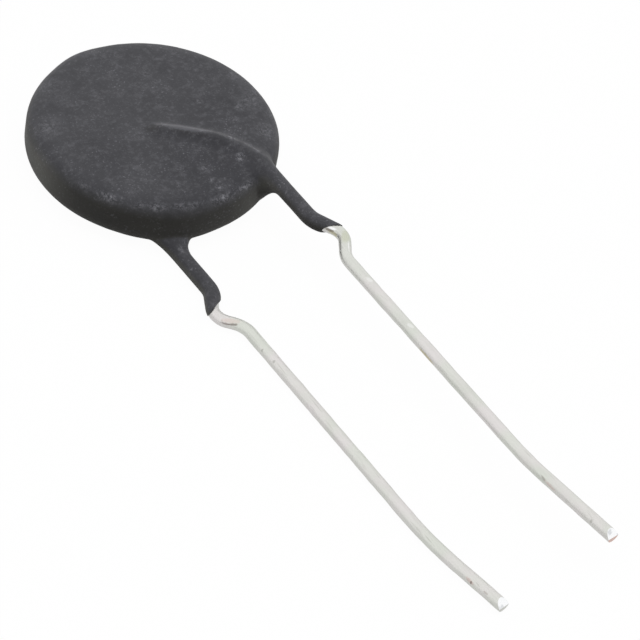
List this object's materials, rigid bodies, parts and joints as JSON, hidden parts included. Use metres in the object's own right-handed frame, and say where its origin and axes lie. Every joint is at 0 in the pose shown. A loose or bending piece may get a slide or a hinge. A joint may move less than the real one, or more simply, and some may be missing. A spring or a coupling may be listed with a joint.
{
  "type": "ntc disc thermistor",
  "caption": "Dip-coated disc thermistor with kinked radial wire leads, soldered to the silvered faces of a sintered ceramic disc under a matt black coating.",
  "frame": {"origin": "centre of the coated disc's flat back face", "axes": "+Z through the disc from its back face to its front face, which carries the front lead; -Y along the leads, away from the disc; +X from the back lead towards the front lead"},
  "size_m": [0.017, 0.0529, 0.0043],
  "materials": {
    "coating": "matt dip coating, slightly dusty",
    "ceramic": "sintered, unglazed",
    "silver": "fired silver, matt",
    "solder": "smooth tin solder",
    "tinned_wire": "tinned copper wire, satin"
  },
  "bodies": {
    "root": {"coating": "coating", "ceramic_disc": "ceramic", "electrode_front": "silver", "electrode_back": "silver", "solder_front": "solder", "solder_back": "solder", "lead_front": "tinned_wire", "lead_back": "tinned_wire"}
  },
  "joints": []
}
